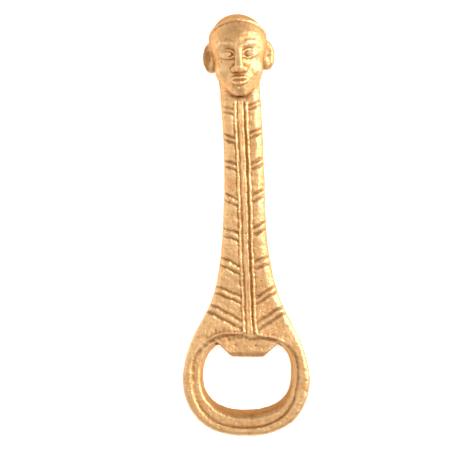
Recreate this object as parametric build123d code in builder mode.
"""Cast brass bottle opener: a tapered handle with a carved head at one end and a cap-lifting loop at the other.

It lies on its back. X runs across it, +Y towards the head and +Z up out of its face. The origin is under the middle
of its length and width, so the loop's flat back and the back of the head both rest on Z = 0. All sizes are in mm.
"""

import math
import os

from build123d import *

# --- driving dimensions -------------------------------------------------------------------------------------
LOOP_END = -76.0  # Y of the loop's far end
SPLIT_Y = -38.2  # where the handle's shoulders become the loop
NECK_Y = 47.5  # where the handle meets the head
EDGE_RADIUS = 2.3  # round along the handle's and the loop's edges

# Stations up the handle: y, half width, thickness, height of its middle, and the sideways drift of a hand-made casting
STATIONS = [
    (SPLIT_Y, 17.9, 6.2, 3.10, 0.00),
    (-32.0, 14.7, 6.3, 3.15, -0.05),
    (-23.5, 11.1, 6.6, 3.60, -0.15),
    (-13.0, 9.0, 7.0, 4.70, -0.30),
    (0.0, 7.8, 7.3, 6.00, -0.40),
    (15.0, 7.25, 7.4, 7.20, -0.60),
    (31.0, 7.20, 7.6, 7.95, -1.15),
    (NECK_Y, 7.10, 8.0, 8.40, -2.10),
]

# The loop, seen from above: each curve is two half superellipses that share a middle line
LOOP_MIDDLE_Y = -54.5
LOOP_HALF_WIDTH = 22.8
LOOP_DOWN_POWER = 2.35
LOOP_THICK = 6.2
SHOULDER = [(-32.0, 14.7), (SPLIT_Y, 17.9), (-45.2, 20.95)]  # y, half width, from the handle to the widest place
OUTLINE_CLOSE_Y = -20.0  # the loop's outline is closed up here, inside the handle, and cut off at SPLIT_Y
RECESS_X = -0.2
RECESS = dict(a=19.2, up=15.1, down=18.9, up_power=2.8, down_power=2.35)
RECESS_FLOOR = 5.5
OPENING_X = 0.3
OPENING_BACK = dict(a=15.8, up=13.2, down=12.1, up_power=2.6, down_power=2.35)
OPENING_FRONT = dict(a=17.2, up=13.9, down=15.2, up_power=2.6, down_power=2.35)

# The tooth that lifts the cap
LIP_X = 0.6
LIP_TIP_Y = -47.5
LIP_ROOT_Y = -41.0
LIP_TIP_HALF = 5.65
LIP_ROOT_HALF = 11.6
LIP_BACK_Z = 0.9
LIP_BEVEL = 1.4

# Relief on the handle's face
CROWN = 0.35  # how far a bead stands proud
TROUGH = 0.55  # how deep the grooves beside it go
SPINE_MIDDLE_X = -0.2  # the spine's place at Y = 0, and its drift for each mm towards the head
SPINE_DRIFT = -0.039
SPINE_BEAD_AT = 2.0
SPINE_BEAD_WIDE = 1.0
SPINE_CORE_WIDE = 1.3
SPINE_TROUGH_WIDE = 5.0
RIB_WIDE = 1.5
RIB_TROUGH_WIDE = 3.5
RIB_INNER_GAP = 3.9  # from the spine's middle to the end of a rib beside it
RIB_OUTER_GAP = 1.6  # from the handle's edge to the end of a rib
# Each rib: Y of its inner end, and how far it climbs on the way out to the handle's edge
RIBS_LEFT = [(40.6, 1.8), (30.3, 2.2), (20.5, 2.2), (8.0, 2.8), (-4.3, 2.5), (-16.4, 4.0), (-26.0, 3.4), (-34.6, 5.0)]
RIBS_RIGHT = [(41.6, 2.2), (32.2, 2.4), (21.0, 2.6), (9.6, 2.6), (-2.3, 2.8), (-14.6, 2.2), (-26.2, 4.4), (-34.8, 5.0)]

# The beads that border the recess under the handle, as slots in plan from the spine outwards
RECESS_BEAD_LEFT = [(-0.7, -38.75), (-2.8, -39.5), (-9.5, -39.4), (-13.4, -41.3)]
RECESS_BEAD_RIGHT = [(3.3, -38.75), (4.6, -39.9), (10.4, -41.1), (14.0, -42.6)]
RECESS_BEAD_WIDE = 1.0

# The head, measured in its own frame: X across, Y up from the neck and Z out of the face, Z = 0 on the table
HEAD_PLACE = (-2.1, NECK_Y, 0)
HEAD_LEAN = 2.8  # degrees the head leans over to its own right
SKULL_AXIS_Z = 10.3
SKULL_RADIUS = 9.9
SKULL_JAW = (6.6, -1.0)  # radius, Y
SKULL_WIDEST_Y = 16.0
SKULL_CORNER = (6.94, 24.61)  # radius, Y where the long side arc hands over to the crown's arc
SKULL_TOP = 28.12
SKULL_CORNER_GROWTH = (0.8, 0.6)  # how much of any growth of the skull the hand-over point takes, out and up
HAIR_PROUD = 0.4
HAIRLINE_Y = 21.6  # where the hairline's plane meets the middle of the head's depth
HAIRLINE_TILT = 40.0

EYE_TURN = 29.0  # degrees round the head from the middle of the face
EYE_Y = 14.0
EYE_OUT = 9.3  # the eye's flat seat, from the head's axis
EYE_HALF = (2.7, 1.5)
EYE_DOME = 5.0
LID_WIDE = 0.6
LID_OUT = 10.1
BROW_PATH = [(0.0, 16.9), (4.2, 18.1), (8.0, 15.9)]  # from the middle of the face outwards, seen from the front
BROW_WIDE = 1.9
BROW_PROUD = 0.9
BROW_SEAT_Z = 15.0
NOSE_PROFILE = [(17.0, 15.0), (17.0, 20.4), (9.4, 22.3), (7.6, 21.4), (7.2, 15.0)]  # Y, Z
NOSE_BRIDGE_HALF = 1.3
NOSE_BASE_HALF = 2.8
NOSE_EASE = 0.7
NOSE_RIDGE_Z = 20.5  # the ridge's long edges lie above this
MOUTH_Y = 4.4
MOUTH_SEAT_Z = 16.0
UPPER_LIP = (6.0, 1.5, 19.3)  # length, height and how far out it reaches
LOWER_LIP = (5.2, 1.7, 18.9)
CHIN_AT = (0.0, 1.2, 14.4)
CHIN_RADIUS = 3.6
EAR_AT = (9.9, 13.4, 9.6)
EAR_WIDE = 6.6
EAR_TALL = 11.0
EAR_THICK = 4.2
EAR_EASE = 1.4
EAR_LEAN = 8.0
EAR_ROOT_X = 8.2
EAR_BOWL = (2.4, 6.2, 0.9)  # width, height and depth
EAR_BOWL_OUT = 0.5  # how far out from the ear's middle line the bowl sits

FAR = 60.0  # longer than any cut needs to reach


def spine_x(y):
    """X of the spine's middle line at a place along the handle."""
    return SPINE_MIDDLE_X + SPINE_DRIFT * y


def station_value(y, column):
    """A station's value at any y, straight between the stations beside it."""
    for low, high in zip(STATIONS, STATIONS[1:]):
        if y <= high[0]:
            share = (y - low[0]) / (high[0] - low[0])
            return low[column] + share * (high[column] - low[column])
    return STATIONS[-1][column]


def superellipse(a, b, power, turn):
    """A point of a superellipse about its own middle, at an angle in degrees."""
    c, s = math.cos(math.radians(turn)), math.sin(math.radians(turn))
    x = a * math.copysign(abs(c) ** (2 / power), c)
    y = b * math.copysign(abs(s) ** (2 / power), s)
    return x, y


def loop_curve(middle_x, a, up, down, up_power, down_power):
    """Points round a closed loop curve, from two half superellipses that share the loop's middle line."""
    points = []
    for turn in (0, 14, 32, 52, 70, 90, 110, 128, 148, 166, 180, 194, 212, 235, 270, 305, 328, 346):
        upper = turn <= 180
        x, y = superellipse(a, up if upper else down, up_power if upper else down_power, turn)
        points.append((middle_x + x, LOOP_MIDDLE_Y + y))
    return points


def outer_points():
    """Points of the loop's outer edge as a closed curve, from inside the handle round the far end."""
    right = [(half, y) for y, half in SHOULDER]
    down = LOOP_MIDDLE_Y - LOOP_END
    for turn in (0, -14, -32, -52, -70):
        x, y = superellipse(LOOP_HALF_WIDTH, down, LOOP_DOWN_POWER, turn)
        right.append((x, LOOP_MIDDLE_Y + y))
    return [(0, OUTLINE_CLOSE_Y)] + right + [(0, LOOP_END)] + [(-x, y) for x, y in reversed(right)]


def slot_along(start, end, width):
    """A slot in the plan from one place to another, on the sketch that is open."""
    run = Vector(*end) - Vector(*start)
    middle = (Vector(*start) + Vector(*end)) * 0.5
    turn = math.degrees(math.atan2(run.Y, run.X))
    with Locations(Location((middle.X, middle.Y, 0), (0, 0, turn))):
        SlotCenterToCenter(run.length, width)


def face_slab(low, high):
    """Everything between two copies of the handle's face line, one shifted to `low` and one to `high`."""
    line = [(y, middle + thick / 2) for y, half, thick, middle, drift in STATIONS]
    with BuildPart() as slab:
        with BuildSketch(Plane.YZ):
            Polygon(*[(y, z + low) for y, z in line], *[(y, z + high) for y, z in reversed(line)], align=None)
        extrude(amount=FAR, both=True)
    return slab.part


def relief(lines, width, low, high):
    """Slots of one width along the given lines, cut out of the slab that follows the handle's face."""
    with BuildPart() as strips:
        with BuildSketch():
            for start, end in lines:
                slot_along(start, end, width)
        extrude(amount=FAR)
        add(face_slab(low, high), mode=Mode.INTERSECT)
    return strips.part


def rib_line(side, inner_y, climb):
    """Where a rib starts beside the spine and where it stops inside the handle's edge."""
    inner_x = spine_x(inner_y) + side * RIB_INNER_GAP
    outer_y = inner_y + climb
    outer_x = station_value(outer_y, 4) + side * (station_value(outer_y, 1) - RIB_OUTER_GAP)
    return (inner_x, inner_y), (outer_x, outer_y)


def spine_line(offset):
    """A straight line down the handle at a distance from the spine's middle."""
    return (spine_x(SPLIT_Y) + offset, SPLIT_Y), (spine_x(NECK_Y) + offset, NECK_Y)


def skull_body(grow):
    """The egg of the head, turned about its own upright axis."""
    with BuildPart() as egg:
        with BuildSketch():
            with BuildLine():
                jaw = (SKULL_JAW[0] + grow, SKULL_JAW[1])
                widest = (SKULL_RADIUS + grow, SKULL_WIDEST_Y)
                corner = Vector(*SKULL_CORNER) + Vector(*SKULL_CORNER_GROWTH) * grow
                TangentArc(widest, jaw, tangent=(0, -1))
                side = TangentArc(widest, corner, tangent=(0, 1))
                TangentArc(corner, (0, SKULL_TOP + grow), tangent=side % 1)
                Polyline(jaw, (0, SKULL_JAW[1]), (0, SKULL_TOP + grow))
            make_face()
        revolve(axis=Axis.Y)
    return Location((0, 0, SKULL_AXIS_Z)) * egg.part


def round_the_face(turn, out, y):
    """A plane that faces outwards from the head's axis, turned round it from the middle of the face."""
    away = (math.sin(math.radians(turn)), 0, math.cos(math.radians(turn)))
    return Plane(origin=(out * away[0], y, SKULL_AXIS_Z + out * away[2]), x_dir=(away[2], 0, -away[0]), z_dir=away)


def almond(half_long, half_high):
    """An eye shape on the open, empty sketch: where two equal circles overlap."""
    radius = (half_long**2 + half_high**2) / (2 * half_high)
    with Locations((0, half_high - radius)):
        Circle(radius)
    with Locations((0, radius - half_high)):
        Circle(radius, mode=Mode.INTERSECT)


os.makedirs("parts", exist_ok=True)

# --- handle ---------------------------------------------------------------------------------------------------
SPINE_STRANDS = {
    "spine_bead_left": (-SPINE_BEAD_AT, SPINE_BEAD_WIDE, CROWN),
    "spine_core": (0.0, SPINE_CORE_WIDE, 0.1),
    "spine_bead_right": (SPINE_BEAD_AT, SPINE_BEAD_WIDE, CROWN),
}
rib_lines = {}
for word, side, ribs in (("left", -1, RIBS_LEFT), ("right", 1, RIBS_RIGHT)):
    for number, (inner_y, climb) in enumerate(ribs, start=1):
        rib_lines[f"rib_{word}_{number}"] = rib_line(side, inner_y, climb)

with BuildPart() as shank:
    with BuildSketch():
        with BuildLine():
            left = Spline(*[(drift - half, y) for y, half, thick, middle, drift in STATIONS])
            right = Spline(*[(drift + half, y) for y, half, thick, middle, drift in STATIONS])
            Line(left @ 0, right @ 0)
            Line(left @ 1, right @ 1)
        make_face()
    extrude(amount=FAR)
    with BuildSketch(Plane.YZ):
        with BuildLine():
            face = Spline(*[(y, middle + thick / 2) for y, half, thick, middle, drift in STATIONS])
            back = Spline(*[(y, middle - thick / 2) for y, half, thick, middle, drift in STATIONS])
            Line(face @ 0, back @ 0)
            Line(face @ 1, back @ 1)
        make_face()
    extrude(amount=FAR, both=True, mode=Mode.INTERSECT)
    long_edges = [e for e in shank.edges() if e.bounding_box().size.Y > NECK_Y]
    fillet(long_edges, radius=EDGE_RADIUS)
    add(relief(rib_lines.values(), RIB_TROUGH_WIDE, -TROUGH, FAR), mode=Mode.SUBTRACT)
    with BuildSketch():
        (low_x, low_y), (high_x, high_y) = spine_line(0)
        half = SPINE_TROUGH_WIDE / 2
        Polygon(
            (low_x - half, low_y),
            (low_x + half, low_y),
            (high_x + half, high_y),
            (high_x - half, high_y),
            align=None,
        )
    add(extrude(amount=FAR, mode=Mode.PRIVATE) & face_slab(-TROUGH, FAR), mode=Mode.SUBTRACT)
shank.part.label = "shank"
export_step(shank.part, "parts/shank.step")

# --- raised spine and ribs ------------------------------------------------------------------------------------
for name, (offset, width, crown) in SPINE_STRANDS.items():
    (low_x, low_y), (high_x, high_y) = spine_line(offset)
    with BuildPart() as strand:
        with BuildSketch():
            Polygon(
                (low_x - width / 2, low_y),
                (low_x + width / 2, low_y),
                (high_x + width / 2, high_y),
                (high_x - width / 2, high_y),
                align=None,
            )
        extrude(amount=FAR)
        add(face_slab(-TROUGH, crown), mode=Mode.INTERSECT)
    strand.part.label = name
    export_step(strand.part, f"parts/{name}.step")

for name, line in rib_lines.items():
    with BuildPart() as rib:
        add(relief([line], RIB_WIDE, -TROUGH, CROWN))
    rib.part.label = name
    export_step(rib.part, f"parts/{name}.step")

# --- tooth ----------------------------------------------------------------------------------------------------
with BuildPart() as cap_lip:
    with BuildSketch(Plane.XY.offset(LIP_BACK_Z)):
        with Locations((LIP_X, 0)):
            Polygon(
                (-LIP_ROOT_HALF, LIP_ROOT_Y),
                (-LIP_TIP_HALF, LIP_TIP_Y),
                (LIP_TIP_HALF, LIP_TIP_Y),
                (LIP_ROOT_HALF, LIP_ROOT_Y),
                align=None,
            )
    extrude(amount=RECESS_FLOOR - LIP_BACK_Z)
    chamfer(cap_lip.edges().group_by(Axis.Z)[-1].sort_by(Axis.Y)[0], length=LIP_BEVEL)
cap_lip.part.label = "cap_lip"
export_step(cap_lip.part, "parts/cap_lip.step")

# --- beads at the recess, and the loop ------------------------------------------------------------------------
recess_beads = []
for name, path in (("recess_bead_left", RECESS_BEAD_LEFT), ("recess_bead_right", RECESS_BEAD_RIGHT)):
    with BuildPart() as recess_bead:
        with BuildSketch(Plane.XY.offset(RECESS_FLOOR)):
            for start, end in zip(path, path[1:]):
                slot_along(start, end, RECESS_BEAD_WIDE)
        extrude(amount=LOOP_THICK + CROWN - RECESS_FLOOR)
    recess_bead.part.label = name
    export_step(recess_bead.part, f"parts/{name}.step")
    recess_beads.append(recess_bead.part)

with BuildPart() as loop:
    with BuildSketch():
        with BuildLine():
            Spline(*outer_points(), periodic=True)
        make_face()
    extrude(amount=LOOP_THICK)
    fillet(loop.edges().filter_by(GeomType.BSPLINE), radius=EDGE_RADIUS)
    with Locations((0, SPLIT_Y, 0)):
        Box(FAR, FAR, FAR, align=(Align.CENTER, Align.MIN, Align.CENTER), mode=Mode.SUBTRACT)
    with BuildSketch(Plane.XY.offset(RECESS_FLOOR)):
        with BuildLine():
            Spline(*loop_curve(RECESS_X, **RECESS), periodic=True)
        make_face()
    extrude(amount=LOOP_THICK, mode=Mode.SUBTRACT)
    with BuildSketch(Plane.XY):
        with BuildLine():
            Spline(*loop_curve(OPENING_X, **OPENING_BACK), periodic=True)
        make_face()
    with BuildSketch(Plane.XY.offset(RECESS_FLOOR)):
        with BuildLine():
            Spline(*loop_curve(OPENING_X, **OPENING_FRONT), periodic=True)
        make_face()
    loft(ruled=True, mode=Mode.SUBTRACT)
    add([cap_lip.part, *recess_beads], mode=Mode.SUBTRACT)
loop.part.label = "loop"
export_step(loop.part, "parts/loop.step")

# --- head -----------------------------------------------------------------------------------------------------
HEAD_AT = Location(HEAD_PLACE, (0, 0, HEAD_LEAN))
skull = skull_body(0.0)

with BuildPart() as above_hairline:
    with Locations(Location((0, HAIRLINE_Y, SKULL_AXIS_Z), (-HAIRLINE_TILT, 0, 0))):
        Box(FAR, FAR, FAR, align=(Align.CENTER, Align.MIN, Align.CENTER))

with BuildPart() as ear:
    with BuildSketch(Plane.XY.offset(EAR_AT[2] - EAR_THICK / 2)):
        with Locations(Location((EAR_AT[0], EAR_AT[1], 0), (0, 0, 90 - EAR_LEAN))):
            SlotOverall(EAR_TALL, EAR_WIDE)
    extrude(amount=EAR_THICK)
    fillet(ear.edges(), radius=EAR_EASE)
    with BuildSketch(Plane.XY.offset(EAR_AT[2] + EAR_THICK / 2)):
        with Locations(Location((EAR_AT[0] + EAR_BOWL_OUT, EAR_AT[1], 0), (0, 0, 90 - EAR_LEAN))):
            SlotOverall(EAR_BOWL[1], EAR_BOWL[0])
    extrude(amount=-EAR_BOWL[2], mode=Mode.SUBTRACT)
    with Locations((EAR_ROOT_X, 0, 0)):
        Box(FAR, FAR, FAR, align=(Align.MAX, Align.CENTER, Align.CENTER), mode=Mode.SUBTRACT)
ear_right = ear.part
ear_left = mirror(ear_right, about=Plane.YZ)

with BuildPart() as hair_cap:
    add(skull_body(HAIR_PROUD))
    add(above_hairline.part, mode=Mode.INTERSECT)
    add([ear_right, ear_left], mode=Mode.SUBTRACT)

with BuildPart() as brow:
    with BuildSketch(Plane.XY.offset(BROW_SEAT_Z)):
        for side in (-1, 1):
            for (x0, y0), (x1, y1) in zip(BROW_PATH, BROW_PATH[1:]):
                slot_along((side * x0, y0), (side * x1, y1), BROW_WIDE)
    extrude(amount=FAR)
    add(skull_body(BROW_PROUD), mode=Mode.INTERSECT)

with BuildPart() as nose:
    with BuildSketch(Plane.YZ):
        Polygon(*NOSE_PROFILE, align=None)
    extrude(amount=FAR, both=True)
    with BuildSketch():
        low, high = NOSE_PROFILE[-1][0], NOSE_PROFILE[0][0]
        Polygon(
            (-NOSE_BASE_HALF, low),
            (NOSE_BASE_HALF, low),
            (NOSE_BRIDGE_HALF, high),
            (-NOSE_BRIDGE_HALF, high),
            align=None,
        )
    extrude(amount=FAR, mode=Mode.INTERSECT)
    sides = [e for e in nose.edges() if e.center().Z > NOSE_RIDGE_Z and abs(e.center().X) > NOSE_BRIDGE_HALF / 2]
    ridge = [e for e in sides if e.length > NOSE_BASE_HALF]
    chamfer(ridge, length=NOSE_EASE)
    add(brow.part, mode=Mode.SUBTRACT)

with BuildPart() as lips:
    for side, (length, height, out) in ((1, UPPER_LIP), (-1, LOWER_LIP)):
        with BuildSketch(Plane.XY.offset(MOUTH_SEAT_Z)):
            with Locations((0, MOUTH_Y + side * height / 2)):
                SlotOverall(length, height)
        extrude(amount=out - MOUTH_SEAT_Z)

eye_plane = round_the_face(EYE_TURN, EYE_OUT, EYE_Y)
with BuildPart() as eye:
    with BuildSketch(eye_plane):
        almond(*EYE_HALF)
    extrude(amount=EYE_DOME)
    with Locations(eye_plane):
        with Locations((0, 0, LID_OUT - EYE_OUT + LID_WIDE - EYE_DOME)):
            Sphere(EYE_DOME, mode=Mode.INTERSECT)
eye_right = eye.part
eye_left = mirror(eye_right, about=Plane.YZ)

with BuildPart() as lid:
    with BuildSketch(eye_plane):
        almond(EYE_HALF[0] + LID_WIDE, EYE_HALF[1] + LID_WIDE)
    extrude(amount=LID_OUT - EYE_OUT)
    extrude(lid.faces().sort_by(Axis((0, 0, 0), eye_plane.z_dir))[0], amount=EYE_OUT / 3)
lid_right = lid.part

with BuildPart() as head:
    add(skull)
    add(above_hairline.part, mode=Mode.SUBTRACT)
    with Locations(CHIN_AT):
        Sphere(CHIN_RADIUS)
    add([lid_right, mirror(lid_right, about=Plane.YZ)])
    add([ear_left, ear_right, brow.part, nose.part, lips.part, eye_left, eye_right], mode=Mode.SUBTRACT)

# --- the head's pieces, leant over and set on the neck ----------------------------------------------------------
on_the_neck = {
    "head": head.part,
    "hair_cap": hair_cap.part,
    "brow": brow.part,
    "nose": nose.part,
    "lips": lips.part,
    "eye_left": eye_left,
    "eye_right": eye_right,
    "ear_left": ear_left,
    "ear_right": ear_right,
}
for name, piece in on_the_neck.items():
    with BuildPart() as placed:
        add(HEAD_AT * piece)
        if name == "head":
            with Locations((0, NECK_Y, 0)):
                Box(FAR, FAR, FAR, align=(Align.CENTER, Align.MAX, Align.CENTER), mode=Mode.SUBTRACT)
    placed.part.label = name
    export_step(placed.part, f"parts/{name}.step")
